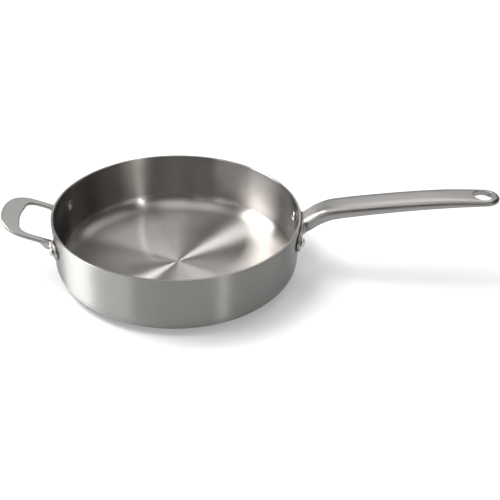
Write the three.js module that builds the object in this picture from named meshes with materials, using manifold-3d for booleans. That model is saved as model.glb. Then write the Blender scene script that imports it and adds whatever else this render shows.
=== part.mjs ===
// Straight-sided stainless saute pan: a clad body, a long cast handle and a cast helper loop,
// each handle held by two rivets through the wall.
// Millimetres, +Z up. The origin is the centre of the base's underside, and the long handle runs along +X.

import * as THREE from 'three';
import { mergeVertices } from 'three/addons/utils/BufferGeometryUtils.js';
import Module from 'manifold-3d';

// Body: three bonded plies, pressed as one sheet
const rimRadius = 140; // outside of the wall at the rim
const bodyHeight = 71; // underside of the base to the rim
const wallDraft = 1.3; // the wall widens by this much between the base corner and the rim
const baseCorner = 20.5; // outside radius between base and wall
const outerSkinThickness = 0.5;
const coreThickness = 1.55;
const cookingSkinThickness = 0.5;
const bondLine = 0.02; // between two plies

// Clearances
const seatGap = 0.3; // between a plate or a rivet head and what it sits on
const shankClearance = 0.3; // round a rivet's shank

// Rivets: a wide low head inside the pan, a round head outside
const shankDiameter = 6;
const innerHeadDiameter = 12.5;
const innerHeadHeight = 2.6;
const outerHeadDiameter = 9.8;
const outerHeadHeight = 4.2;
const headEdge = 0.5; // straight edge under a head's dome

// Long handle: the plate that is riveted to the wall
const longRivetDrop = 18.8; // below the rim
const longRivetSpacing = 57.5;
const longPlateThickness = 3.2;
const longEarRadius = 11.2;

// Long handle: grip centreline, reach from the wall and rise above the rivets, with its section there
const rootReach = -9;
const rootRise = -3;
const rootWidth = 37;
const rootHeight = 23;
const neckReach = 9;
const neckRise = 12;
const neckWidth = 29;
const neckHeight = 15.6;
const shoulderReach = 24;
const shoulderRise = 22.6;
const shoulderWidth = 30.5;
const shoulderHeight = 15.6;
const kneeReach = 43;
const kneeRise = 29;
const kneeWidth = 31.5;
const kneeHeight = 13.9;
const middleReach = 105;
const middleRise = 38.8;
const middleWidth = 32.5;
const middleHeight = 11.6;
const upperReach = 160;
const upperRise = 45;
const upperWidth = 32.5;
const upperHeight = 9.6;
const endReach = 202.8; // centre of the rounded end
const endRise = 47;
const endWidth = 32;
const endHeight = 7.8;
const gripSquareness = 4; // exponent of the section's oval, 2 is an ellipse

// Long handle: hanging hole
const hangHoleDiameter = 22;
const hangHoleSetback = 17.8; // centre of the hole to the tip

// Helper handle: a flat loop that tilts up, with an ear beyond each leg
const helperTurn = 3; // degrees off straight opposite the long handle
const helperRivetDrop = 22.3;
const helperRivetSpacing = 100;
const helperPlateThickness = 3;
const helperEarRadius = 8.8;
const loopRise = 4.4; // loop's middle plane at the wall, above the rivets
const loopTilt = 17; // degrees
const loopReach = 57; // wall to tip, along the tilt
const loopWidth = 81;
const loopThickness = 5.4;
const loopEdgeRadius = 1.7;
const legWidth = 8;
const bowDepth = 20; // grip, from its inner edge to the tip
const bowLength = 32; // rounded part of the outline
const bowFullness = 0.64; // how far the outline's handles reach towards its corners
const innerCorner = 11;
const innerCrown = 2; // bulge of the grip's inner edge
const gussetReach = 14; // where a leg starts to deepen and spread towards its ear, from the wall
const gussetSpread = 9; // sideways, at the ear
const gussetDrop = 3; // its lower edge at the ear, below the rivets

// Facets
const turnSteps = 64;
const cornerSteps = 4;
const rivetSteps = 16;
const domeSteps = 3;
const holeSteps = 24;
const sectionSteps = 20;
const gripSteps = 22;
const tipSteps = 5;
const outlineSteps = 6;
const edgeSteps = 2;

// How far a cutting solid runs past what it cuts
const overcut = 20;
const weldTolerance = 1e-3;

const wasm = await Module();
wasm.setup();

// Closed mesh of a three.js geometry, with its shared corners merged and no collapsed triangles.
function toSolid(geometry) {
  const bare = new THREE.BufferGeometry();
  bare.setAttribute('position', geometry.getAttribute('position').clone());
  bare.setIndex(geometry.index);
  const welded = mergeVertices(bare, weldTolerance);
  const corners = welded.index.array;
  const kept = [];
  for (let i = 0; i < corners.length; i += 3) {
    const [a, b, c] = corners.slice(i, i + 3);
    if (a !== b && b !== c && c !== a) kept.push(a, b, c);
  }
  const vertProperties = new Float32Array(welded.getAttribute('position').array);
  const triVerts = new Uint32Array(kept);
  return new wasm.Manifold(new wasm.Mesh({ numProp: 3, vertProperties, triVerts }));
}

function toGeometry(solid) {
  const mesh = solid.getMesh();
  const geometry = new THREE.BufferGeometry();
  geometry.setAttribute('position', new THREE.BufferAttribute(mesh.vertProperties, 3));
  geometry.setIndex(new THREE.BufferAttribute(mesh.triVerts, 1));
  geometry.computeVertexNormals();
  return geometry;
}

function toMesh(name, solid, material) {
  const mesh = new THREE.Mesh(toGeometry(solid), material);
  mesh.name = name;
  return mesh;
}

// Solid of revolution about Z from (radius, height) points.
function turned(points) {
  return toSolid(new THREE.LatheGeometry(points, turnSteps).rotateX(Math.PI / 2));
}

// Outline drawn in (lateral, height), extruded along the handle's own direction, then turned about Z.
function radialPrism(outline, turn) {
  const geometry = new THREE.ExtrudeGeometry(outline, {
    depth: rimRadius + overcut,
    bevelEnabled: false,
    curveSegments: outlineSteps,
  });
  geometry.rotateX(Math.PI / 2).rotateZ(Math.PI / 2).rotateZ(turn);
  return toSolid(geometry);
}

// Body surface at a depth below the outside: a flat base, a corner arc and a slightly flared wall.
const flareAngle = Math.atan(wallDraft / (bodyHeight - baseCorner));
const cornerCentre =
  rimRadius -
  baseCorner * Math.cos(flareAngle) -
  (bodyHeight - baseCorner + baseCorner * Math.sin(flareAngle)) * Math.tan(flareAngle);

function wallRadius(height, depth) {
  const corner = baseCorner - depth;
  const foot = baseCorner - corner * Math.sin(flareAngle);
  return cornerCentre + corner * Math.cos(flareAngle) + (height - foot) * Math.tan(flareAngle);
}

function surfaceProfile(depth) {
  const corner = baseCorner - depth;
  const points = [new THREE.Vector2(0, depth)];
  for (let i = 0; i <= cornerSteps; i++) {
    const angle = -Math.PI / 2 + (i / cornerSteps) * (Math.PI / 2 - flareAngle);
    points.push(
      new THREE.Vector2(cornerCentre + corner * Math.cos(angle), baseCorner + corner * Math.sin(angle)),
    );
  }
  points.push(new THREE.Vector2(wallRadius(bodyHeight, depth), bodyHeight));
  return points;
}

function ply(outerDepth, thickness) {
  const inside = surfaceProfile(outerDepth + thickness).reverse();
  return turned([...surfaceProfile(outerDepth), ...inside]);
}

const coreDepth = outerSkinThickness + bondLine;
const cookingSkinDepth = coreDepth + coreThickness + bondLine;
const bodyThickness = cookingSkinDepth + cookingSkinThickness;

// Room that the body takes, grown by the seat gap, which the handles are trimmed to.
const bodyRoom = turned([...surfaceProfile(-seatGap), new THREE.Vector2(0, bodyHeight)]);

// Ring against the outside of the wall, which the riveted plates are cut from.
function wallRing(thickness) {
  const low = baseCorner;
  const inner = -seatGap;
  const outer = -seatGap - thickness;
  return turned([
    new THREE.Vector2(wallRadius(low, inner), low),
    new THREE.Vector2(wallRadius(low, outer), low),
    new THREE.Vector2(wallRadius(bodyHeight, outer), bodyHeight),
    new THREE.Vector2(wallRadius(bodyHeight, inner), bodyHeight),
    new THREE.Vector2(wallRadius(low, inner), low),
  ]);
}

// Rivet places: two for each handle, either side of its direction.
function rivetPair(turn, drop, spacing, plateThickness) {
  const height = bodyHeight - drop;
  const spread = Math.asin(spacing / 2 / wallRadius(height, 0));
  return [-1, 1].map((side) => ({ height, plateThickness, angle: turn + side * spread }));
}

const helperAngle = Math.PI + THREE.MathUtils.degToRad(helperTurn);
const longRivets = rivetPair(0, longRivetDrop, longRivetSpacing, longPlateThickness);
const helperRivets = rivetPair(helperAngle, helperRivetDrop, helperRivetSpacing, helperPlateThickness);

function rivetHole({ angle, height }) {
  const radius = shankDiameter / 2 + shankClearance;
  const hole = new THREE.CylinderGeometry(radius, radius, 2 * overcut, rivetSteps);
  hole.rotateZ(-Math.PI / 2).translate(rimRadius, 0, height).rotateZ(angle);
  return toSolid(hole);
}

const rivetHoles = [...longRivets, ...helperRivets].map(rivetHole);

function drilled(solid) {
  return rivetHoles.reduce((rest, hole) => rest.subtract(hole), solid);
}

// Half outline of a low dome, from its edge to the axis or the other way round.
function dome(radius, height, base, direction) {
  const points = [];
  for (let i = 0; i <= domeSteps; i++) {
    const angle = (i / domeSteps) * (Math.PI / 2);
    const rise = headEdge + (height - headEdge) * Math.sin(angle);
    points.push(new THREE.Vector2(radius * Math.cos(angle), base + direction * rise));
  }
  return points;
}

// Outside of a riveted plate, at the height of a rivet head's upper edge.
function plateFace({ height, plateThickness }) {
  return wallRadius(height + outerHeadDiameter / 2, -seatGap - plateThickness);
}

// Spot faces, which keep a casting clear of the rivet heads on its plate.
function spotFaced(casting, rivets) {
  const radius = outerHeadDiameter / 2 + seatGap;
  return rivets.reduce((rest, place) => {
    const room = new THREE.CylinderGeometry(radius, radius, overcut, rivetSteps);
    room.rotateZ(-Math.PI / 2).translate(plateFace(place) + overcut / 2, 0, place.height);
    room.rotateZ(place.angle);
    return rest.subtract(toSolid(room));
  }, casting);
}

function rivet(place) {
  const { angle, height } = place;
  const innerRadius = innerHeadDiameter / 2;
  const outerRadius = outerHeadDiameter / 2;
  const lowWall = wallRadius(height - innerRadius, bodyThickness) * Math.cos(Math.PI / turnSteps);
  const innerSeat = Math.sqrt(lowWall ** 2 - innerRadius ** 2) - seatGap;
  const outerSeat = plateFace(place) + seatGap;
  const profile = [
    ...dome(innerRadius, innerHeadHeight, innerSeat, -1).reverse(),
    new THREE.Vector2(innerRadius, innerSeat),
    new THREE.Vector2(shankDiameter / 2, innerSeat),
    new THREE.Vector2(shankDiameter / 2, outerSeat),
    new THREE.Vector2(outerRadius, outerSeat),
    ...dome(outerRadius, outerHeadHeight, outerSeat, 1),
  ];
  const geometry = new THREE.LatheGeometry(profile, rivetSteps);
  geometry.rotateZ(-Math.PI / 2).rotateZ(angle).translate(0, 0, height);
  return toSolid(geometry);
}

// Plate outline for a pair of rivets: a bar with round ends, in (lateral, height).
function earBar(fromLateral, toLateral, height, radius) {
  const bar = new THREE.Shape();
  bar.moveTo(fromLateral, height - radius);
  bar.lineTo(toLateral, height - radius);
  bar.absarc(toLateral, height, radius, -Math.PI / 2, Math.PI / 2, false);
  bar.lineTo(fromLateral, height + radius);
  bar.absarc(fromLateral, height, radius, Math.PI / 2, (3 * Math.PI) / 2, false);
  return bar;
}

// Oval section of the grip, square to the direction it runs in.
function gripRing({ x, z, slope, width, height }) {
  const ring = [];
  const power = 2 / gripSquareness;
  for (let i = 0; i < sectionSteps; i++) {
    const angle = (2 * Math.PI * i) / sectionSteps;
    const across = (width / 2) * Math.sign(Math.cos(angle)) * Math.abs(Math.cos(angle)) ** power;
    const up = (height / 2) * Math.sign(Math.sin(angle)) * Math.abs(Math.sin(angle)) ** power;
    ring.push(new THREE.Vector3(x - up * Math.sin(slope), across, z + up * Math.cos(slope)));
  }
  return ring;
}

// Solid through a row of rings with as many points each, closed by a fan at both ends.
function loft(rings) {
  const count = rings[0].length;
  const centre = (ring) => ring.reduce((sum, p) => sum.add(p), new THREE.Vector3()).divideScalar(count);
  const points = [...rings.flat(), centre(rings[0]), centre(rings.at(-1))];
  const first = rings.length * count;
  const last = first + 1;
  const faces = [];
  for (let j = 0; j < count; j++) {
    const k = (j + 1) % count;
    faces.push(first, k, j);
    const end = (rings.length - 1) * count;
    faces.push(last, end + j, end + k);
    for (let i = 0; i < rings.length - 1; i++) {
      const a = i * count;
      const b = a + count;
      faces.push(a + j, a + k, b + k, a + j, b + k, b + j);
    }
  }
  const geometry = new THREE.BufferGeometry().setFromPoints(points);
  geometry.setIndex(faces);
  return toSolid(geometry);
}

function longHandle() {
  const rivetHeight = bodyHeight - longRivetDrop;
  const place = (reach, rise) => new THREE.Vector2(rimRadius + reach, rivetHeight + rise);
  const line = new THREE.SplineCurve([
    place(rootReach, rootRise),
    place(neckReach, neckRise),
    place(shoulderReach, shoulderRise),
    place(kneeReach, kneeRise),
    place(middleReach, middleRise),
    place(upperReach, upperRise),
    place(endReach, endRise),
  ]);
  const section = new THREE.SplineCurve([
    new THREE.Vector2(rootWidth, rootHeight),
    new THREE.Vector2(neckWidth, neckHeight),
    new THREE.Vector2(shoulderWidth, shoulderHeight),
    new THREE.Vector2(kneeWidth, kneeHeight),
    new THREE.Vector2(middleWidth, middleHeight),
    new THREE.Vector2(upperWidth, upperHeight),
    new THREE.Vector2(endWidth, endHeight),
  ]);
  const rings = [];
  for (let i = 0; i < gripSteps; i++) {
    const t = i / gripSteps;
    const at = line.getPoint(t);
    const size = section.getPoint(t);
    const slope = line.getTangent(t).angle();
    rings.push(gripRing({ x: at.x, z: at.y, slope, width: size.x, height: size.y }));
  }

  // Rounded end: a half circle in plan, with the section drawn in a little towards the tip.
  const end = line.getPoint(1);
  const along = line.getTangent(1);
  const slope = along.angle();
  const endRadius = endWidth / 2;
  for (let i = 0; i < tipSteps; i++) {
    const angle = (i / tipSteps) * (Math.PI / 2);
    const at = end.clone().addScaledVector(along, endRadius * Math.sin(angle));
    const width = endWidth * Math.cos(angle);
    const height = endHeight * Math.sqrt(Math.cos(angle));
    rings.push(gripRing({ x: at.x, z: at.y, slope, width, height }));
  }
  const nose = end.clone().addScaledVector(along, endRadius);
  const noseSize = endHeight / 2;
  rings.push(gripRing({ x: nose.x, z: nose.y, slope, width: noseSize, height: noseSize }));

  const plateOutline = earBar(-longRivetSpacing / 2, longRivetSpacing / 2, rivetHeight, longEarRadius);
  const plate = wallRing(longPlateThickness).intersect(radialPrism(plateOutline, 0));

  const holeRadius = hangHoleDiameter / 2;
  const holePlace = end.clone().addScaledVector(along, endRadius - hangHoleSetback);
  const hole = new THREE.CylinderGeometry(holeRadius, holeRadius, 2 * overcut, holeSteps);
  hole.rotateX(Math.PI / 2).translate(holePlace.x, 0, holePlace.y);
  const casting = loft(rings).add(plate).subtract(bodyRoom).subtract(toSolid(hole));
  return drilled(spotFaced(casting, longRivets));
}

// Plan of the loop: out along one leg, round the bow, back along the other leg, then its inner edge.
function loopOutline() {
  const half = loopWidth / 2;
  const innerHalf = half - legWidth;
  const bowStart = loopReach - bowLength;
  const innerEnd = loopReach - bowDepth;
  const outline = new THREE.Shape();
  outline.moveTo(-overcut, -half);
  outline.lineTo(bowStart, -half);
  const reach = bowStart + bowFullness * bowLength;
  outline.bezierCurveTo(reach, -half, loopReach, -bowFullness * half, loopReach, 0);
  outline.bezierCurveTo(loopReach, bowFullness * half, reach, half, bowStart, half);
  outline.lineTo(-overcut, half);
  outline.lineTo(-overcut, innerHalf);
  const cornerStart = innerEnd - innerCrown - innerCorner;
  outline.lineTo(cornerStart, innerHalf);
  const edge = innerEnd - innerCrown;
  const crownEnd = innerHalf - innerCorner;
  outline.quadraticCurveTo(edge, innerHalf, edge, crownEnd);
  outline.quadraticCurveTo(innerEnd + innerCrown, 0, edge, -crownEnd);
  outline.quadraticCurveTo(edge, -innerHalf, cornerStart, -innerHalf);
  outline.lineTo(-overcut, -innerHalf);
  return outline;
}

// Gusset that deepens a leg and spreads it towards its ear: what its side view and its plan have in common.
function legGusset(side, rivetHeight) {
  const half = loopWidth / 2;
  const spread = half + gussetSpread;
  const earFace = Math.sqrt(rimRadius ** 2 - spread ** 2) + seatGap + helperPlateThickness;
  const plan = new THREE.Shape();
  plan.moveTo(rimRadius - overcut, side * (half - legWidth + loopEdgeRadius));
  plan.lineTo(rimRadius + gussetReach, side * (half - legWidth + loopEdgeRadius));
  plan.lineTo(rimRadius + gussetReach, side * (half - loopEdgeRadius));
  plan.quadraticCurveTo(rimRadius, side * (half - loopEdgeRadius), earFace, side * spread);
  plan.lineTo(rimRadius - overcut, side * spread);
  const planSolid = new THREE.ExtrudeGeometry(plan, {
    depth: bodyHeight,
    bevelEnabled: false,
    curveSegments: outlineSteps,
  });

  const tilt = Math.tan(THREE.MathUtils.degToRad(loopTilt));
  const heightAt = (reach) => rivetHeight + loopRise + reach * tilt;
  const bend = gussetReach / 2;
  const core = loopThickness / 2 - loopEdgeRadius;
  const foot = rivetHeight - gussetDrop;
  const view = new THREE.Shape();
  view.moveTo(rimRadius - overcut, foot);
  view.lineTo(rimRadius + seatGap + helperPlateThickness, foot);
  view.quadraticCurveTo(
    rimRadius + bend,
    heightAt(bend) - loopThickness / 2,
    rimRadius + gussetReach,
    heightAt(gussetReach) - core,
  );
  view.lineTo(rimRadius + gussetReach, heightAt(gussetReach) + core);
  view.lineTo(rimRadius - overcut, heightAt(-overcut) + core);
  const viewSolid = new THREE.ExtrudeGeometry(view, {
    depth: 2 * spread + overcut,
    bevelEnabled: false,
    curveSegments: outlineSteps,
  });
  viewSolid.rotateX(Math.PI / 2).translate(0, spread + overcut / 2, 0);
  return toSolid(planSolid.rotateZ(helperAngle)).intersect(toSolid(viewSolid.rotateZ(helperAngle)));
}

function helperHandle() {
  const rivetHeight = bodyHeight - helperRivetDrop;
  const loop = new THREE.ExtrudeGeometry(loopOutline(), {
    depth: loopThickness - 2 * loopEdgeRadius,
    bevelThickness: loopEdgeRadius,
    bevelSize: loopEdgeRadius,
    bevelOffset: -loopEdgeRadius,
    bevelSegments: edgeSteps,
    curveSegments: outlineSteps,
  });
  loop.translate(0, 0, loopEdgeRadius - loopThickness / 2);
  loop.rotateY(-THREE.MathUtils.degToRad(loopTilt));
  loop.translate(rimRadius, 0, rivetHeight + loopRise).rotateZ(helperAngle);

  let casting = toSolid(loop);
  for (const side of [-1, 1]) {
    const legLateral = side * (loopWidth / 2 - legWidth / 2);
    const rivetLateral = (side * helperRivetSpacing) / 2;
    const [from, to] = [legLateral, rivetLateral].sort((a, b) => a - b);
    const ear = radialPrism(earBar(from, to, rivetHeight, helperEarRadius), helperAngle);
    casting = casting.add(wallRing(helperPlateThickness).intersect(ear));
    casting = casting.add(legGusset(side, rivetHeight));
  }
  return drilled(spotFaced(casting.subtract(bodyRoom), helperRivets));
}

// Bare metals, each with its colour and finish.
function metal(color, roughness) {
  return new THREE.MeshStandardMaterial({ color, roughness, metalness: 1 });
}

const cookingSteel = metal(0xb9b6b1, 0.3);
const coreAluminium = metal(0xc9cacb, 0.4);
const outerSteel = metal(0xb4b2af, 0.38);
const castSteel = metal(0xa9a6a2, 0.42);
const rivetSteel = metal(0xbfbdb9, 0.28);

const group = new THREE.Group();
group.name = 'saute_pan';
group.add(
  toMesh('outer_skin', drilled(ply(0, outerSkinThickness)), outerSteel),
  toMesh('aluminium_core', drilled(ply(coreDepth, coreThickness)), coreAluminium),
  toMesh('cooking_skin', drilled(ply(cookingSkinDepth, cookingSkinThickness)), cookingSteel),
  toMesh('long_handle', longHandle(), castSteel),
  toMesh('helper_handle', helperHandle(), castSteel),
  toMesh('long_handle_rivet_front', rivet(longRivets[0]), rivetSteel),
  toMesh('long_handle_rivet_back', rivet(longRivets[1]), rivetSteel),
  toMesh('helper_rivet_back', rivet(helperRivets[0]), rivetSteel),
  toMesh('helper_rivet_front', rivet(helperRivets[1]), rivetSteel),
);

export default group;
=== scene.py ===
# Saute pan in clad stainless steel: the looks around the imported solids.
# Metres, in the solids' own frame: +Z up, the long handle along +X.

import math

import bmesh
import bpy
from mathutils import Matrix, Vector
from mathutils.geometry import interpolate_bezier


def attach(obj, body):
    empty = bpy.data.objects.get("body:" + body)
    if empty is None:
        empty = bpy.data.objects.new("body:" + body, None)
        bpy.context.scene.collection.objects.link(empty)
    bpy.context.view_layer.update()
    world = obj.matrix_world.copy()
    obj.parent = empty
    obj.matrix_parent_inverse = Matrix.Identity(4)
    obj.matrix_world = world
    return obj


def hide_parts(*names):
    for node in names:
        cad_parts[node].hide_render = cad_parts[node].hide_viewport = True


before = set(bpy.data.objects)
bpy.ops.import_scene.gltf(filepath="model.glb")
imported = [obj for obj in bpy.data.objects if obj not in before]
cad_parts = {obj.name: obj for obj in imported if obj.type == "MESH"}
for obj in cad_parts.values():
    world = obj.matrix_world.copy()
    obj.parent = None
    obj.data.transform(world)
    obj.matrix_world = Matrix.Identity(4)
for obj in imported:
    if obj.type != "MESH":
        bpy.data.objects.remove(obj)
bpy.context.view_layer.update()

# Outer skin
# The outside of the clad body: a sheet of stainless steel, bonded to the core and drawn with
# it into a flat base, a round corner and a slightly flared wall, then brushed round on a
# lathe. The rim is cut square, and its outer edge is eased.
MM = 0.001
RIM_RADIUS = 140 * MM
BODY_HEIGHT = 71 * MM
WALL_DRAFT = 1.3 * MM
BASE_CORNER = 20.5 * MM
OUTER_SKIN = 0.5 * MM
EASED_EDGE = 0.42 * MM
EASED_STEPS = 4
SUPPORT = 2 * MM
CORNER_STEPS = 24
TURN_STEPS = 192
FULL_TURN = 2 * math.pi
QUARTER_TURN = math.pi / 2
WELD = 1e-6
CREASE = math.radians(40)
FLARE = math.atan(WALL_DRAFT / (BODY_HEIGHT - BASE_CORNER))
WALL_HEIGHT = BODY_HEIGHT - BASE_CORNER + BASE_CORNER * math.sin(FLARE)
CORNER_CENTRE = RIM_RADIUS - BASE_CORNER * math.cos(FLARE) - WALL_HEIGHT * math.tan(FLARE)


def wall_radius(height, depth):
    corner = BASE_CORNER - depth
    foot = BASE_CORNER - corner * math.sin(FLARE)
    return CORNER_CENTRE + corner * math.cos(FLARE) + (height - foot) * math.tan(FLARE)


# Half section of the sheet at a depth below the outside, from the axis to the rim.
def sheet_line(bm, depth):
    middle = bm.verts.new((0, 0, depth))
    flat = bm.verts.new((CORNER_CENTRE - SUPPORT, 0, depth))
    heel = bm.verts.new((CORNER_CENTRE, 0, depth))
    corner = bmesh.ops.spin(
        bm,
        geom=[heel],
        cent=(CORNER_CENTRE, 0, BASE_CORNER),
        axis=(0, -1, 0),
        angle=QUARTER_TURN - FLARE,
        steps=CORNER_STEPS,
    )
    brow = next(v for v in corner["geom_last"] if isinstance(v, bmesh.types.BMVert))
    low = brow.co.z + SUPPORT
    high = BODY_HEIGHT - SUPPORT
    wall = [bm.verts.new((wall_radius(z, depth), 0, z)) for z in (low, high, BODY_HEIGHT)]
    bm.edges.new((middle, flat))
    bm.edges.new((flat, heel))
    bm.edges.new((brow, wall[0]))
    bm.edges.new((wall[0], wall[1]))
    bm.edges.new((wall[1], wall[2]))
    return wall[2]


# Turns a half section about the pan's axis and closes it there.
def turn_on_axis(bm):
    bmesh.ops.spin(
        bm,
        geom=bm.verts[:] + bm.edges[:],
        cent=(0, 0, 0),
        axis=(0, 0, 1),
        angle=FULL_TURN,
        steps=TURN_STEPS,
        use_merge=True,
    )
    bmesh.ops.remove_doubles(bm, verts=bm.verts[:], dist=WELD)
    bmesh.ops.recalc_face_normals(bm, faces=bm.faces[:])


def spun_ply(depth, thickness):
    bm = bmesh.new()
    rims = [sheet_line(bm, depth), sheet_line(bm, depth + thickness)]
    bm.edges.new(rims)
    turn_on_axis(bm)
    return bm


# Eases the rim's edge on the surface at that depth.
def ease_rim(bm, depth):
    radius = wall_radius(BODY_HEIGHT, depth)
    top = [
        v
        for v in bm.verts
        if abs(v.co.z - BODY_HEIGHT) < WELD and abs(v.co.xy.length - radius) < WELD
    ]
    edge = [e for e in bm.edges if e.verts[0] in top and e.verts[1] in top]
    bmesh.ops.bevel(
        bm,
        geom=edge,
        offset=EASED_EDGE,
        segments=EASED_STEPS,
        profile=0.5,
        affect="EDGES",
        material=-1,
    )


def new_object(name, bm):
    mesh = bpy.data.meshes.new(name)
    bm.to_mesh(mesh)
    bm.free()
    made = bpy.data.objects.new(name, mesh)
    bpy.context.scene.collection.objects.link(made)
    return made


def bake_modifiers(piece):
    graph = bpy.context.evaluated_depsgraph_get()
    baked = bpy.data.meshes.new_from_object(piece.evaluated_get(graph))
    baked.materials.clear()
    plain = piece.data
    piece.modifiers.clear()
    piece.data = baked
    bpy.data.meshes.remove(plain)


def cut_away(piece, tool_bm):
    tool = new_object("tool", tool_bm)
    cut = piece.modifiers.new("cut", "BOOLEAN")
    cut.operation = "DIFFERENCE"
    cut.solver = "MANIFOLD"
    cut.object = tool
    bake_modifiers(piece)
    bpy.data.meshes.remove(tool.data)


# Smooth shading, with an edge kept wherever two faces meet at more than the crease angle.
def shade(piece):
    bm = bmesh.new()
    bm.from_mesh(piece.data)
    for face in bm.faces:
        face.smooth = True
    for edge in bm.edges:
        edge.smooth = edge.calc_face_angle(0) < CREASE
    bm.to_mesh(piece.data)
    bm.free()


# Rivet places, as the angle round the pan and the height, two for each handle.
LONG_RIVET_DROP = 18.8 * MM
LONG_RIVET_SPACING = 57.5 * MM
HELPER_RIVET_DROP = 22.3 * MM
HELPER_RIVET_SPACING = 100 * MM
HELPER_ANGLE = math.pi + math.radians(3)
HOLE_RADIUS = 3.3 * MM
HOLE_REACH = 20 * MM
PIN_STEPS = 40


def rivet_pair(turn, drop, spacing):
    height = BODY_HEIGHT - drop
    spread = math.asin(spacing / 2 / wall_radius(height, 0))
    return [(turn - spread, height), (turn + spread, height)]


LONG_RIVETS = rivet_pair(0, LONG_RIVET_DROP, LONG_RIVET_SPACING)
HELPER_RIVETS = rivet_pair(HELPER_ANGLE, HELPER_RIVET_DROP, HELPER_RIVET_SPACING)


# Adds a round bar that points away from the pan's axis at a rivet's place.
def radial_bar(bm, radius, near, far, place):
    angle, height = place
    lie_down = Matrix.Rotation(QUARTER_TURN, 4, "Y")
    move_out = Matrix.Translation(((near + far) / 2, 0, height))
    bmesh.ops.create_cone(
        bm,
        cap_ends=True,
        segments=PIN_STEPS,
        radius1=radius,
        radius2=radius,
        depth=far - near,
        matrix=Matrix.Rotation(angle, 4, "Z") @ move_out @ lie_down,
    )


def rivet_drill(places):
    bm = bmesh.new()
    for place in places:
        radial_bar(bm, HOLE_RADIUS, RIM_RADIUS - HOLE_REACH, RIM_RADIUS + HOLE_REACH, place)
    return bm


# sRGB hex to linear colour.
def linear(code):
    parts = [int(code[i : i + 2], 16) / 255 for i in (1, 3, 5)]
    return [*(c / 12.92 if c <= 0.04045 else ((c + 0.055) / 1.055) ** 2.4 for c in parts), 1]


# Adds a node with its settings, and its inputs as values or as links.
def add_node(tree, kind, settings, inputs):
    node = tree.nodes.new("ShaderNode" + kind)
    for name, value in settings.items():
        setattr(node, name, value)
    for name, value in inputs.items():
        if isinstance(value, bpy.types.NodeSocket):
            tree.links.new(value, node.inputs[name])
        else:
            node.inputs[name].default_value = value
    return node


def new_material(name):
    material = bpy.data.materials.new(name)
    material.use_nodes = True
    material.node_tree.nodes.clear()
    return material


# Sockets of a Mix node for colours, and the range in which most of a noise pattern lies.
MIX_FIRST = 6
MIX_SECOND = 7
MIX_COLOUR = 2
NOISE_LOW = 0.3
NOISE_HIGH = 0.7

ACROSS_THE_LINES = 0.25
LINE_PITCH = 0.5 * MM
LINE_DETAIL = 3
LINE_GRIT = 0.65
RIPPLE_TURNS = 22
RIPPLE_DETAIL = 2


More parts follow.
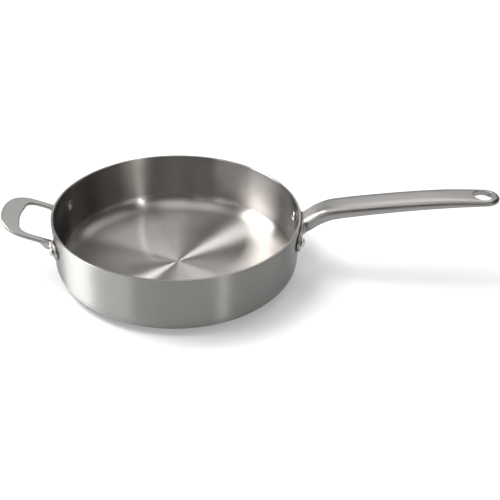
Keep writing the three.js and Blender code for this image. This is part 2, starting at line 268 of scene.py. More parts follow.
# Metal brushed in circles round the pan's axis: the scratches are too fine to see one by one, and
# drag each reflection out across them, up the wall and along the radius of the base. A belt
# leaves lines about 0.1 mm apart; they are drawn at LINE_PITCH, coarse enough to show. Drawing
# the wall leaves it very slightly rippled round the pan, by the height ripple.
def brushed_metal(name, pale, dull, base_gloss, wall_gloss, vary, drag, line_turns, ripple):
    material = new_material(name)
    tree = material.node_tree
    place = add_node(tree, "TexCoord", {}, {}).outputs["Object"]
    plan = add_node(tree, "VectorMath", {"operation": "MULTIPLY"}, {0: place, 1: (1, 1, 0)})
    heading = add_node(tree, "VectorMath", {"operation": "NORMALIZE"}, {0: plan.outputs["Vector"]})
    radius = add_node(tree, "VectorMath", {"operation": "LENGTH"}, {0: plan.outputs["Vector"]})
    height = add_node(tree, "SeparateXYZ", {}, {0: place}).outputs["Z"]
    run = add_node(tree, "Math", {"operation": "ADD"}, {0: radius.outputs["Value"], 1: height})
    line = add_node(tree, "Math", {"operation": "DIVIDE"}, {0: run.outputs[0], 1: LINE_PITCH})
    rise = add_node(tree, "CombineXYZ", {}, {"Z": line.outputs[0]})
    stretch = (line_turns, line_turns, 0)
    streak = add_node(
        tree,
        "VectorMath",
        {"operation": "MULTIPLY_ADD"},
        {0: heading.outputs["Vector"], 1: stretch, 2: rise.outputs["Vector"]},
    )
    lines = add_node(
        tree,
        "TexNoise",
        {},
        {
            "Vector": streak.outputs["Vector"],
            "Scale": 1,
            "Detail": LINE_DETAIL,
            "Roughness": LINE_GRIT,
        },
    ).outputs["Fac"]
    colour = add_node(
        tree,
        "Mix",
        {"data_type": "RGBA"},
        {0: lines, MIX_FIRST: linear(dull), MIX_SECOND: linear(pale)},
    )
    spread = add_node(
        tree,
        "MapRange",
        {},
        {
            "Value": height,
            "From Min": 0,
            "From Max": BASE_CORNER,
            "To Min": base_gloss,
            "To Max": wall_gloss,
        },
    )
    waver = add_node(
        tree,
        "MapRange",
        {},
        {
            "Value": lines,
            "From Min": NOISE_LOW,
            "From Max": NOISE_HIGH,
            "To Min": -vary,
            "To Max": vary,
        },
    )
    gloss = add_node(
        tree,
        "Math",
        {"operation": "ADD"},
        {0: spread.outputs["Result"], 1: waver.outputs["Result"]},
    )
    around = add_node(
        tree, "VectorMath", {"operation": "CROSS_PRODUCT"}, {0: (0, 0, 1), 1: place}
    )
    waves = add_node(
        tree,
        "TexNoise",
        {},
        {
            "Vector": heading.outputs["Vector"],
            "Scale": RIPPLE_TURNS,
            "Detail": RIPPLE_DETAIL,
        },
    ).outputs["Fac"]
    on_wall = add_node(
        tree, "MapRange", {}, {"Value": height, "From Min": 0, "From Max": BASE_CORNER}
    ).outputs["Result"]
    swell = add_node(tree, "Math", {"operation": "MULTIPLY"}, {0: waves, 1: on_wall})
    relief = add_node(tree, "Bump", {}, {"Distance": ripple, "Height": swell.outputs[0]})
    steel = add_node(
        tree,
        "BsdfPrincipled",
        {},
        {
            "Base Color": colour.outputs[MIX_COLOUR],
            "Metallic": 1,
            "Roughness": gloss.outputs[0],
            "Anisotropic": drag,
            "Anisotropic Rotation": ACROSS_THE_LINES,
            "Tangent": around.outputs["Vector"],
            "Normal": relief.outputs["Normal"],
        },
    )
    add_node(tree, "OutputMaterial", {}, {"Surface": steel.outputs["BSDF"]})
    return material


outer_bm = spun_ply(0, OUTER_SKIN)
ease_rim(outer_bm, 0)
outer_skin = new_object("outer_skin_brushed", outer_bm)
cut_away(outer_skin, rivet_drill(LONG_RIVETS + HELPER_RIVETS))
shade(outer_skin)
outer_skin.data.materials.append(
    brushed_metal(
        "outer_steel_brushed",
        pale="#93928f",
        dull="#8c8b89",
        base_gloss=0.37,
        wall_gloss=0.38,
        vary=0.015,
        drag=1,
        line_turns=4,
        ripple=0.006 * MM,
    )
)
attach(outer_skin, "root")
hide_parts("outer_skin")

# Aluminium core
# The thick middle ply, which spreads the heat. It is sealed between the steel skins and shows
# only as a fine line along the cut rim.
CORE = 1.55 * MM
BOND_LINE = 0.02 * MM
CORE_DEPTH = OUTER_SKIN + BOND_LINE
core = new_object("aluminium_core_cut", spun_ply(CORE_DEPTH, CORE))
cut_away(core, rivet_drill(LONG_RIVETS + HELPER_RIVETS))
shade(core)
core.data.materials.append(
    brushed_metal(
        "core_aluminium_cut",
        pale="#8f8d8b",
        dull="#82807e",
        base_gloss=0.42,
        wall_gloss=0.42,
        vary=0.06,
        drag=0.5,
        line_turns=9,
        ripple=0,
    )
)
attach(core, "root")
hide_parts("aluminium_core")

# Cooking skin
# The inside of the clad body: a sheet of stainless steel, brushed in circles from the middle of
# the base out to the wall and on up to the rim, whose inner edge is eased.
COOKING_SKIN = 0.5 * MM
COOKING_DEPTH = CORE_DEPTH + CORE + BOND_LINE
BODY_THICKNESS = COOKING_DEPTH + COOKING_SKIN
cooking_bm = spun_ply(COOKING_DEPTH, COOKING_SKIN)
ease_rim(cooking_bm, BODY_THICKNESS)
cooking_skin = new_object("cooking_skin_brushed", cooking_bm)
cut_away(cooking_skin, rivet_drill(LONG_RIVETS + HELPER_RIVETS))
shade(cooking_skin)
cooking_skin.data.materials.append(
    brushed_metal(
        "cooking_steel_brushed",
        pale="#a3a09d",
        dull="#9c9996",
        base_gloss=0.37,
        wall_gloss=0.22,
        vary=0.012,
        drag=1,
        line_turns=3,
        ripple=0.025 * MM,
    )
)
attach(cooking_skin, "root")
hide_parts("cooking_skin")

# Long handle
# One steel casting, bead blasted to a satin finish: a plate with an ear each side that follows
# the wall and takes the rivets, a collar from which a neck rises, and a long grip with a slightly
# crowned top that ends in an eye for hanging. Its edges are soft, as they leave the mould.
SEAT_GAP = 0.3 * MM
LONG_PLATE = 3.2 * MM
LONG_EAR = 11.2 * MM
EAR_STEPS = 48
EAR_SLICE = 3 * MM
SECTION_STEPS = 48
GRIP_SQUARENESS = 3.4
GRIP_CROWN = 1.22
GRIP_BELLY = 0.38
SPAN_STEPS = 12
SPAN_EASE = 6
WAIST_REACH = 5.5 * MM
WAIST_HALF = 4 * MM
WAIST_DEPTH = 0.07
COLLAR_SPREAD = 6 * MM
COLLAR_RISE = 3.5 * MM
COLLAR_EAR = 13.5 * MM
TIP_STEPS = 10
CAST_VOXEL = 0.7 * MM
CAST_ROUNDS = 3
CAST_SOFTNESS = 0.5
OVERCUT = 20 * MM
# Grip stations: reach past the wall, rise above the rivets, width and height, in millimetres.
GRIP_STATIONS = [
    (-9, -6.5, 33, 18),
    (9, 8.2, 30.6, 18.6),
    (24, 18.9, 31.6, 18.6),
    (43, 25.5, 32.8, 17.6),
    (105, 35.7, 33.8, 15),
    (160, 42.4, 34.2, 12.8),
    (202.8, 45.5, 33.4, 9),
]
HANG_HOLE = 22 * MM
HANG_SETBACK = 18.8 * MM


# Smooth line through points, each span bent by its neighbours.
def smooth_line(points):
    line = []
    last = len(points) - 1
    for i in range(last):
        before = points[max(i - 1, 0)]
        after = points[min(i + 2, last)]
        lead = points[i] + (points[i + 1] - before) / SPAN_EASE
        trail = points[i + 1] - (after - points[i]) / SPAN_EASE
        line += interpolate_bezier(points[i], lead, trail, points[i + 1], SPAN_STEPS + 1)[:-1]
    line.append(points[last])
    return line


# Where a section of the given width and height stands, square to a slope in the XZ plane.
def section_place(point, slope, width, height):
    across = Vector((0, width / 2, 0))
    up = Vector((-math.sin(slope), 0, math.cos(slope))) * height / 2
    along = Vector((math.cos(slope), 0, math.sin(slope)))
    turned = Matrix((across, up, along)).transposed().to_4x4()
    return Matrix.Translation(point) @ turned


# Draws the ring that a bmesh holds through a row of places, and closes both ends.
def draw_through(bm, places):
    ring = bm.verts[:]
    loop = bm.edges[:]
    bmesh.ops.transform(bm, matrix=places[0], verts=ring)
    for before, after in zip(places, places[1:]):
        grown = bmesh.ops.extrude_edge_only(bm, edges=loop)["geom"]
        ring = {v for v in grown if isinstance(v, bmesh.types.BMVert)}
        loop = [
            e for e in grown if isinstance(e, bmesh.types.BMEdge) and ring.issuperset(e.verts)
        ]
        bmesh.ops.transform(bm, matrix=after @ before.inverted(), verts=list(ring))
    bmesh.ops.holes_fill(bm, edges=[e for e in bm.edges if e.is_boundary])
    bmesh.ops.recalc_face_normals(bm, faces=bm.faces[:])


# Adds one bmesh to another, which ends it.
def join(bm, other):
    carrier = bpy.data.meshes.new("carrier")
    other.to_mesh(carrier)
    other.free()
    bm.from_mesh(carrier)
    bpy.data.meshes.remove(carrier)


# Plate with round ends between two laterals, bent to the wall on the +X side. It is drawn flat
# first, with its vertices as lateral, rise and depth.
def ear_plate(laterals, height, radius, thickness):
    bm = bmesh.new()
    half_step = Matrix.Rotation(math.pi / EAR_STEPS, 4, "Z")
    bmesh.ops.create_circle(
        bm, cap_ends=True, segments=EAR_STEPS, radius=radius, matrix=half_step
    )
    for v in bm.verts:
        v.co.x += laterals[0] if v.co.x < 0 else laterals[1]
    slices = int((laterals[1] - laterals[0] + 2 * radius) / EAR_SLICE)
    for i in range(1, slices):
        cut = (laterals[0] - radius + i * EAR_SLICE, 0, 0)
        geometry = bm.verts[:] + bm.edges[:] + bm.faces[:]
        bmesh.ops.bisect_plane(bm, geom=geometry, plane_co=cut, plane_no=(1, 0, 0))
    grown = bmesh.ops.extrude_face_region(bm, geom=bm.faces[:])["geom"]
    lifted = [v for v in grown if isinstance(v, bmesh.types.BMVert)]
    bmesh.ops.translate(bm, verts=lifted, vec=(0, 0, thickness))
    for v in bm.verts:
        lateral, rise, depth = v.co
        reach = wall_radius(height + rise, -SEAT_GAP - depth)
        angle = math.asin(lateral / reach)
        v.co = (reach * math.cos(angle), reach * math.sin(angle), height + rise)
    bmesh.ops.recalc_face_normals(bm, faces=bm.faces[:])
    return bm


# Room that the body takes, with the seat gap, which a casting is trimmed to.
def body_room():
    bm = bmesh.new()
    rim = sheet_line(bm, -SEAT_GAP)
    lid = bm.verts.new((0, 0, BODY_HEIGHT))
    bm.edges.new((rim, lid))
    turn_on_axis(bm)
    return bm


# Makes the shells that cross each other in a mesh one closed skin.
def melt(piece):
    skin = piece.modifiers.new("melt", "REMESH")
    skin.mode = "VOXEL"
    skin.voxel_size = CAST_VOXEL
    bake_modifiers(piece)


# Melts the shells of a casting into one, trims it, and softens its edges.
def cast(piece, trims):
    melt(piece)
    for trim in trims:
        cut_away(piece, trim)
    melt(piece)
    soften = piece.modifiers.new("soften", "SMOOTH")
    soften.factor = CAST_SOFTNESS
    soften.iterations = CAST_ROUNDS
    bake_modifiers(piece)


DIMPLE = 0.5 * MM
DIMPLE_DEPTH = 0.03 * MM
DIMPLE_STRENGTH = 0.25
DIMPLE_DETAIL = 2
DIMPLE_GRIT = 0.5
CLOUD = 14 * MM
CLOUD_DETAIL = 3
CLOUD_GRIT = 0.55
SMOOTHEST_CAST = 0.35
DULLEST_CAST = 0.43


# Cast steel, bead blasted: fine even dimples, about 0.3 mm across, which turn the shine to satin,
# and faint clouds where the blast was uneven. The dimples are drawn at 0.5 mm so that they show.
def cast_steel(name, pale, dull):
    material = new_material(name)
    tree = material.node_tree
    place = add_node(tree, "TexCoord", {}, {}).outputs["Object"]
    dimples = add_node(
        tree,
        "TexNoise",
        {},
        {
            "Vector": place,
            "Scale": 1 / DIMPLE,
            "Detail": DIMPLE_DETAIL,
            "Roughness": DIMPLE_GRIT,
        },
    ).outputs["Fac"]
    clouds = add_node(
        tree,
        "TexNoise",
        {},
        {
            "Vector": place,
            "Scale": 1 / CLOUD,
            "Detail": CLOUD_DETAIL,
            "Roughness": CLOUD_GRIT,
        },
    ).outputs["Fac"]
    colour = add_node(
        tree,
        "Mix",
        {"data_type": "RGBA"},
        {0: clouds, MIX_FIRST: linear(dull), MIX_SECOND: linear(pale)},
    )
    gloss = add_node(
        tree,
        "MapRange",
        {},
        {
            "Value": clouds,
            "From Min": NOISE_LOW,
            "From Max": NOISE_HIGH,
            "To Min": SMOOTHEST_CAST,
            "To Max": DULLEST_CAST,
        },
    )
    relief = add_node(
        tree,
        "Bump",
        {},
        {"Strength": DIMPLE_STRENGTH, "Distance": DIMPLE_DEPTH, "Height": dimples},
    )
    steel = add_node(
        tree,
        "BsdfPrincipled",
        {},
        {
            "Base Color": colour.outputs[MIX_COLOUR],
            "Metallic": 1,
            "Roughness": gloss.outputs["Result"],
            "Normal": relief.outputs["Normal"],
        },
    )
    add_node(tree, "OutputMaterial", {}, {"Surface": steel.outputs["BSDF"]})
    return material


plate_height = BODY_HEIGHT - LONG_RIVET_DROP
line = smooth_line(
    [Vector((RIM_RADIUS + r * MM, 0, plate_height + z * MM)) for r, z, _, _ in GRIP_STATIONS]
)
sizes = smooth_line([Vector((w * MM, h * MM, 0)) for _, _, w, h in GRIP_STATIONS])
places = []
for i, (point, size) in enumerate(zip(line, sizes)):
    ahead = line[min(i + 1, len(line) - 1)] - line[max(i - 1, 0)]
    slope = math.atan2(ahead.z, ahead.x)
    from_waist = (point.x - RIM_RADIUS - WAIST_REACH) / WAIST_HALF
    full = 1 - WAIST_DEPTH * max(0, 1 - from_waist**2)
    places.append(section_place(point, slope, size.x * full, size.y * full))
end = line[-1]
end_along = Vector((math.cos(slope), 0, math.sin(slope)))
end_width, end_height = sizes[-1].x, sizes[-1].y
for i in range(1, TIP_STEPS):
    angle = QUARTER_TURN * i / TIP_STEPS
    point = end + end_along * (end_width / 2) * math.sin(angle)
    width = end_width * math.cos(angle)
    height = end_height * math.sqrt(math.cos(angle))
    places.append(section_place(point, slope, width, height))
grip_bm = bmesh.new()
bmesh.ops.create_circle(grip_bm, segments=SECTION_STEPS, radius=1)
power = 2 / GRIP_SQUARENESS
for v in grip_bm.verts:
    v.co.x = math.copysign(abs(v.co.x) ** power, v.co.x)
    swell = GRIP_CROWN if v.co.y > 0 else -GRIP_BELLY
    v.co.y = abs(v.co.y) ** power * swell
draw_through(grip_bm, places)
ears = (-LONG_RIVET_SPACING / 2, LONG_RIVET_SPACING / 2)
join(grip_bm, ear_plate(ears, plate_height, LONG_EAR, LONG_PLATE))
collar = (-COLLAR_SPREAD, COLLAR_SPREAD)
join(grip_bm, ear_plate(collar, plate_height + COLLAR_RISE, COLLAR_EAR, LONG_PLATE))
long_handle = new_object("long_handle_cast", grip_bm)
hole_place = end + end_along * (end_width / 2 - HANG_SETBACK)
eye_bm = bmesh.new()
bmesh.ops.create_cone(
    eye_bm,
    cap_ends=True,
    segments=PIN_STEPS,
    radius1=HANG_HOLE / 2,
    radius2=HANG_HOLE / 2,
    depth=2 * OVERCUT,
    matrix=Matrix.Translation(hole_place),
)
cast(long_handle, [body_room(), eye_bm])
cut_away(long_handle, rivet_drill(LONG_RIVETS))
shade(long_handle)
handle_steel = cast_steel("cast_steel_blasted", pale="#92908e", dull="#878583")
long_handle.data.materials.append(handle_steel)
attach(long_handle, "root")
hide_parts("long_handle")

# Helper handle
# A second steel casting, blasted like the first: a flat loop that tilts up from the wall, with a
# broad bow for the fingers, two thin legs, and an ear beyond each leg for its rivet. Each leg
# deepens and spreads into its ear.
HELPER_PLATE = 3 * MM
HELPER_EAR = 9.2 * MM
EAR_START = 4 * MM
EAR_END = 1.2 * MM
LOOP_RISE = 2.6 * MM
LOOP_TILT = math.radians(19.4)
LOOP_REACH = 58.4 * MM
LOOP_WIDTH = 81 * MM
LOOP_THICKNESS = 4.4 * MM
LOOP_EDGE = 1 * MM
LEG_WIDTH = 8 * MM
BOW_DEPTH = 21.2 * MM
BOW_LENGTH = 32 * MM
BOW_FULLNESS = 0.64
INNER_CORNER = 15 * MM
INNER_CROWN = 2 * MM
CORNER_LEAN = 2 / 3
GUSSET_REACH = 14 * MM
GUSSET_SPREAD = 9 * MM
GUSSET_DROP = 3 * MM
GUSSET_STEPS = 8
OUTLINE_STEPS = 16
EDGE_STEPS = 4


# Closed flat outline, each corner as its point and the two handles that bend it, made a plate
# with round edges.
def rounded_plate(corners, thickness, edge):
    curve = bpy.data.curves.new("outline", "CURVE")
    curve.dimensions = "2D"
    curve.fill_mode = "BOTH"
    curve.extrude = thickness / 2 - edge
    curve.bevel_depth = edge
    curve.bevel_resolution = EDGE_STEPS
    curve.offset = -edge
    curve.resolution_u = OUTLINE_STEPS
    spline = curve.splines.new("BEZIER")
    spline.bezier_points.add(len(corners) - 1)
    spline.use_cyclic_u = True
    for knot, (point, before, after) in zip(spline.bezier_points, corners):
        knot.handle_left_type = "FREE"
        knot.handle_right_type = "FREE"
        knot.co = (*point, 0)
        knot.handle_left = (*before, 0)
        knot.handle_right = (*after, 0)
    drawn = bpy.data.objects.new("outline", curve)
    bpy.context.scene.collection.objects.link(drawn)
    graph = bpy.context.evaluated_depsgraph_get()
    flat = bpy.data.meshes.new_from_object(drawn.evaluated_get(graph))
    bm = bmesh.new()
    bm.from_mesh(flat)
    bmesh.ops.remove_doubles(bm, verts=bm.verts[:], dist=WELD)
    bmesh.ops.recalc_face_normals(bm, faces=bm.faces[:])
    bpy.data.curves.remove(curve)
    bpy.data.meshes.remove(flat)
    return bm


# A corner of an outline that no handle bends.
def sharp(reach, lateral):
    point = (reach, lateral)
    return (point, point, point)


# The handle that bends an outline from one of its points towards another.
def lean(point, towards):
    return tuple(a + (b - a) * CORNER_LEAN for a, b in zip(point, towards))


half = LOOP_WIDTH / 2
inner_half = half - LEG_WIDTH
bow_start = LOOP_REACH - BOW_LENGTH
bow_handle = bow_start + BOW_FULLNESS * BOW_LENGTH
inner_edge = LOOP_REACH - BOW_DEPTH - INNER_CROWN
corner_start = inner_edge - INNER_CORNER
crown_end = inner_half - INNER_CORNER
crown = (LOOP_REACH - BOW_DEPTH + INNER_CROWN, 0)
tip_handle = BOW_FULLNESS * half
loop_corners = [
    sharp(-OVERCUT, -half),
    ((bow_start, -half), (bow_start, -half), (bow_handle, -half)),
    ((LOOP_REACH, 0), (LOOP_REACH, -tip_handle), (LOOP_REACH, tip_handle)),
    ((bow_start, half), (bow_handle, half), (bow_start, half)),
    sharp(-OVERCUT, half),
    sharp(-OVERCUT, inner_half),
]
for side in (1, -1):
    leg = (corner_start, side * inner_half)
    bow = (inner_edge, side * crown_end)
    turn = (inner_edge, side * inner_half)
    pair = [(leg, leg, lean(leg, turn)), (bow, lean(bow, turn), lean(bow, crown))]
    if side < 0:
        pair = [(point, after, before) for point, before, after in reversed(pair)]
    loop_corners += pair
loop_corners.append(sharp(-OVERCUT, -inner_half))

ear_height = BODY_HEIGHT - HELPER_RIVET_DROP
helper_bm = rounded_plate(loop_corners, LOOP_THICKNESS, LOOP_EDGE)
tilt_up = Matrix.Rotation(-LOOP_TILT, 4, "Y")
to_wall = Matrix.Translation((RIM_RADIUS, 0, ear_height + LOOP_RISE))
bmesh.ops.transform(helper_bm, matrix=to_wall @ tilt_up, verts=helper_bm.verts[:])


# Middle height of a leg at a reach from the wall.
def leg_height(reach):
    return ear_height + LOOP_RISE + reach * math.tan(LOOP_TILT)


# Where a gusset's section stands, from the leg it grows out of to the ear it runs into.
def gusset_place(side, share):
    spread = half + GUSSET_SPREAD
    ear_reach = math.sqrt(RIM_RADIUS**2 - spread**2) + SEAT_GAP + HELPER_PLATE - RIM_RADIUS
    reach = (1 - share) ** 2 * GUSSET_REACH + share**2 * ear_reach
    core = LOOP_THICKNESS / 2 - LOOP_EDGE
    inside = inner_half + LOOP_EDGE
    outside = half - LOOP_EDGE + share**2 * (GUSSET_SPREAD + LOOP_EDGE)
    depth = min(1, (GUSSET_REACH - reach) / (GUSSET_REACH - SEAT_GAP - HELPER_PLATE)) ** 2
    top = leg_height(reach) + core
    leg_bottom = leg_height(reach) - core
    bottom = leg_bottom + depth * (ear_height - GUSSET_DROP - leg_bottom)
    middle = Vector((RIM_RADIUS + reach, side * (inside + outside) / 2, (top + bottom) / 2))
    return section_place(middle, 0, outside - inside, top - bottom)


half_spacing = HELPER_RIVET_SPACING / 2
for side in (-1, 1):
    gusset_bm = bmesh.new()
    bmesh.ops.create_grid(gusset_bm, x_segments=1, y_segments=1, size=1)
    bmesh.ops.delete(gusset_bm, geom=gusset_bm.faces[:], context="FACES_ONLY")
    steps = [gusset_place(side, i / GUSSET_STEPS) for i in range(GUSSET_STEPS + 1)]
    steps.append(Matrix.Translation((-HELPER_PLATE, 0, 0)) @ steps[-1])
    draw_through(gusset_bm, steps)
    join(helper_bm, gusset_bm)
    laterals = sorted((side * (half_spacing - EAR_START), side * (half_spacing + EAR_END)))
    join(helper_bm, ear_plate(laterals, ear_height, HELPER_EAR, HELPER_PLATE))
about = Matrix.Rotation(HELPER_ANGLE, 4, "Z")
bmesh.ops.transform(helper_bm, matrix=about, verts=helper_bm.verts[:])
helper_handle = new_object("helper_handle_cast", helper_bm)
cast(helper_handle, [body_room()])
cut_away(helper_handle, rivet_drill(HELPER_RIVETS))
shade(helper_handle)
helper_handle.data.materials.append(handle_steel)
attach(helper_handle, "root")
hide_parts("helper_handle")

# Rivets
# Solid stainless rivets through wall and plate: a wide low head on the cooking side, a round head
# pressed up over the plate outside. Both heads are polished by the tool that forms them.
SHANK = 6 * MM
INNER_HEAD = 12.5 * MM
INNER_HEAD_HEIGHT = 2.6 * MM
OUTER_HEAD = 9.8 * MM
OUTER_HEAD_HEIGHT = 4.2 * MM
INNER_HEAD_EDGE = 0.5 * MM
OUTER_HEAD_EDGE = 2 * MM
HEAD_EASE = 0.35 * MM
HEAD_EASE_STEPS = 3
HEAD_STEPS = 12
RIVET_PALE = "#c6c3be"
RIVET_DULL = "#b5b2ad"
SWIRL = 1.5 * MM
SWIRL_DETAIL = 4
SWIRL_GRIT = 0.6
SMOOTHEST_RIVET = 0.16
DULLEST_RIVET = 0.26


# Half section of a round head, along X from its seat to its crown on the axis.
def head_line(bm, radius, height, edge_height, seat, direction):
    rise = height - edge_height
    ball = (radius**2 + rise**2) / (2 * rise)
    under = bm.verts.new((seat, 0, radius))
    edge = bm.verts.new((seat + direction * edge_height, 0, radius))
    bm.edges.new((under, edge))
    centre = seat + direction * (height - ball)
    bmesh.ops.spin(
        bm,
        geom=[edge],
        cent=(centre, 0, 0),
        axis=(0, direction, 0),
        angle=math.asin(radius / ball),
        steps=HEAD_STEPS,
    )
    return under


def rivet(name, place, plate):
    angle, height = place
    low_wall = wall_radius(height - INNER_HEAD / 2, BODY_THICKNESS)
    inner_seat = math.sqrt(low_wall**2 - (INNER_HEAD / 2) ** 2) - SEAT_GAP
    outer_seat = wall_radius(height + OUTER_HEAD / 2, -SEAT_GAP - plate) + SEAT_GAP
    bm = bmesh.new()
    inner = head_line(bm, INNER_HEAD / 2, INNER_HEAD_HEIGHT, INNER_HEAD_EDGE, inner_seat, -1)
    outer = head_line(bm, OUTER_HEAD / 2, OUTER_HEAD_HEIGHT, OUTER_HEAD_EDGE, outer_seat, 1)
    neck = [bm.verts.new((seat, 0, SHANK / 2)) for seat in (inner_seat, outer_seat)]
    bm.edges.new((inner, neck[0]))
    bm.edges.new(neck)
    bm.edges.new((neck[1], outer))
    bmesh.ops.spin(
        bm,
        geom=bm.verts[:] + bm.edges[:],
        cent=(0, 0, 0),
        axis=(1, 0, 0),
        angle=FULL_TURN,
        steps=PIN_STEPS,
        use_merge=True,
    )
    bmesh.ops.remove_doubles(bm, verts=bm.verts[:], dist=WELD)
    bmesh.ops.recalc_face_normals(bm, faces=bm.faces[:])
    shoulder = [e for e in bm.edges if e.calc_face_angle(0) > CREASE]
    bmesh.ops.bevel(
        bm,
        geom=shoulder,
        offset=HEAD_EASE,
        segments=HEAD_EASE_STEPS,
        profile=0.5,
        affect="EDGES",
        material=-1,
    )
    out = Matrix.Rotation(angle, 4, "Z") @ Matrix.Translation((0, 0, height))
    bmesh.ops.transform(bm, matrix=out, verts=bm.verts[:])
    made = new_object(name, bm)
    shade(made)
    return made


# Polished stainless steel with the faint swirl and dulling that washing leaves.
rivet_steel = new_material("rivet_steel_polished")
tree = rivet_steel.node_tree
place = add_node(tree, "TexCoord", {}, {}).outputs["Object"]
dulling = add_node(
    tree,
    "TexNoise",
    {},
    {"Vector": place, "Scale": 1 / SWIRL, "Detail": SWIRL_DETAIL, "Roughness": SWIRL_GRIT},
).outputs["Fac"]
colour = add_node(
    tree,
    "Mix",
    {"data_type": "RGBA"},
    {0: dulling, MIX_FIRST: linear(RIVET_DULL), MIX_SECOND: linear(RIVET_PALE)},
)
gloss = add_node(
    tree,
    "MapRange",
    {},
    {
        "Value": dulling,
        "From Min": NOISE_LOW,
        "From Max": NOISE_HIGH,
        "To Min": SMOOTHEST_RIVET,
        "To Max": DULLEST_RIVET,
    },
)
steel = add_node(
    tree,
    "BsdfPrincipled",
    {},
    {
        "Base Color": colour.outputs[MIX_COLOUR],
        "Metallic": 1,
        "Roughness": gloss.outputs["Result"],
    },
)
add_node(tree, "OutputMaterial", {}, {"Surface": steel.outputs["BSDF"]})

for node_name, place, plate in (
    ("long_handle_rivet_front", LONG_RIVETS[0], LONG_PLATE),
    ("long_handle_rivet_back", LONG_RIVETS[1], LONG_PLATE),
    ("helper_rivet_back", HELPER_RIVETS[0], HELPER_PLATE),
    ("helper_rivet_front", HELPER_RIVETS[1], HELPER_PLATE),
):
    set_rivet = rivet(node_name + "_set", place, plate)
    set_rivet.data.materials.append(rivet_steel)
    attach(set_rivet, "root")
    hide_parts(node_name)

# Floor
# A plain white table top, which takes the pan's shadow and shows white to the camera and in the
# metal.
FLOOR_SIZE = 12
FLOOR_DROP = 0.2 * MM
FLOOR_GLOW = 0.28
TABLE_WHITE = "#c4c4c4"
WHITE = linear("#ffffff")
floor_bm = bmesh.new()
bmesh.ops.create_grid(
    floor_bm,
    x_segments=1,
    y_segments=1,
    size=FLOOR_SIZE / 2,
    matrix=Matrix.Translation((0, 0, -FLOOR_DROP)),
)
floor = new_object("floor", floor_bm)
paper = new_material("white_table")
tree = paper.node_tree
ray = add_node(tree, "LightPath", {}, {})
seen = add_node(
    tree,
    "Math",
    {"operation": "MAXIMUM"},
    {0: ray.outputs["Is Camera Ray"], 1: ray.outputs["Is Glossy Ray"]},
)
seen_or_through = add_node(
    tree,
    "Math",
    {"operation": "MAXIMUM"},
    {0: seen.outputs[0], 1: ray.outputs["Is Transmission Ray"]},
)
glow = add_node(
    tree, "Math", {"operation": "MULTIPLY"}, {0: seen_or_through.outputs[0], 1: FLOOR_GLOW}
)
matte = add_node(tree, "BsdfDiffuse", {}, {"Color": linear(TABLE_WHITE)})
shine = add_node(tree, "Emission", {}, {"Color": WHITE, "Strength": glow.outputs[0]})
both = add_node(
    tree, "AddShader", {}, {0: matte.outputs["BSDF"], 1: shine.outputs["Emission"]}
)
add_node(tree, "OutputMaterial", {}, {"Surface": both.outputs["Shader"]})
floor.data.materials.append(paper)

# Studio light
# A large soft box on the left, brightest in its upper part, banks overhead, behind and above the
# front, weak screens low down, and a narrow strip to the right of the camera, in a dark room.
# The cards show in the metal and leave the table unlit, and the table light does the reverse.
LAMP_DISTANCE = 2.6
ROOM_GLOW = 0.02
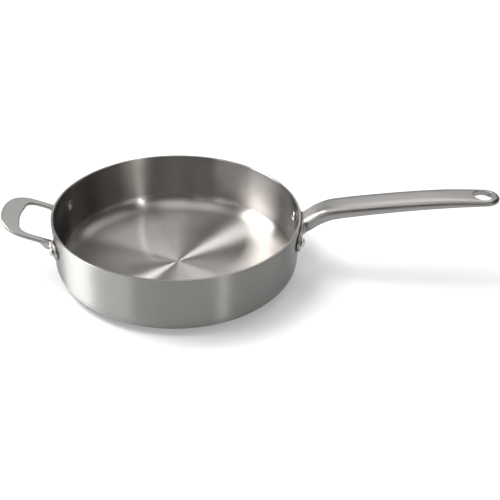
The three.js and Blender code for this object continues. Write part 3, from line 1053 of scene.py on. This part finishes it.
# Each lamp: azimuth from the camera's side towards the right, elevation, width, height, power.
LAMPS = {
    "soft_box_high": (-103, 40, 1.3, 0.9, 50),
    "soft_box_core": (-106, 51, 0.7, 0.6, 19),
    "soft_box_low": (-92, 27, 1.3, 0.8, 50),
    "soft_box_lowest": (-88, 10, 1.5, 0.55, 24),
    "screen_left_front": (-54, 11, 1.9, 0.6, 26),
    "screen_left_back": (-152, 16, 1.5, 0.9, 8),
    "bank_behind": (155, 58, 1.5, 1.3, 21),
    "screen_right_back": (150, 25, 0.9, 0.5, 3),
    "screen_behind": (177, 32, 1.3, 1.0, 6),
    "bank_overhead": (-70, 80, 1.6, 1.6, 18),
    "bank_front": (25, 63, 1.6, 0.7, 8),
    "screen_front": (-30, 30, 1.4, 0.7, 3.5),
    "strip_right": (43, 26, 0.08, 1.4, 9),
    "table_light": (-100, 61, 1.7, 1.4, 88),
}
CARDS = (
    "soft_box_high",
    "soft_box_low",
    "soft_box_lowest",
    "screen_left_front",
    "screen_left_back",
)
# It stands above the soft box, which keeps the pan's shadow short.
TABLE_LIGHT = "table_light"
for name, (azimuth, elevation, width, height, power) in LAMPS.items():
    lamp = bpy.data.lights.new(name, "AREA")
    lamp.shape = "RECTANGLE"
    lamp.size = width
    lamp.size_y = height
    lamp.energy = power
    holder = bpy.data.objects.new(name, lamp)
    stand = Matrix.Rotation(math.radians(azimuth), 4, "Z")
    raise_up = Matrix.Rotation(QUARTER_TURN - math.radians(elevation), 4, "X")
    holder.matrix_world = stand @ raise_up @ Matrix.Translation((0, 0, LAMP_DISTANCE))
    holder.visible_camera = False
    holder.visible_diffuse = name not in CARDS
    holder.visible_glossy = name != TABLE_LIGHT
    bpy.context.scene.collection.objects.link(holder)

room = bpy.data.worlds.new("dark_room")
room.use_nodes = True
room.node_tree.nodes["Background"].inputs["Color"].default_value = WHITE
room.node_tree.nodes["Background"].inputs["Strength"].default_value = ROOM_GLOW
bpy.context.scene.world = room

# Camera
# It stands in front of the pan, a little to the right, and looks down at it. The lens and the
# stand are fitted to the ellipses of the rim and the base.
LENS = 61.66
AZIMUTH = math.radians(-0.8)
ELEVATION = math.radians(32.58)
ROLL = math.radians(2.124)
DISTANCE = 1004.37 * MM
ASIDE = 84.34 * MM
ABOVE = 15.2 * MM
camera_data = bpy.data.cameras.new("camera")
camera_data.lens = LENS
camera = bpy.data.objects.new("camera", camera_data)
look = Matrix.Rotation(AZIMUTH, 4, "Z") @ Matrix.Rotation(QUARTER_TURN - ELEVATION, 4, "X")
camera.matrix_world = (
    look @ Matrix.Rotation(ROLL, 4, "Z") @ Matrix.Translation((ASIDE, ABOVE, DISTANCE))
)
bpy.context.scene.collection.objects.link(camera)
bpy.context.scene.camera = camera
bpy.context.scene.view_settings.view_transform = "Standard"
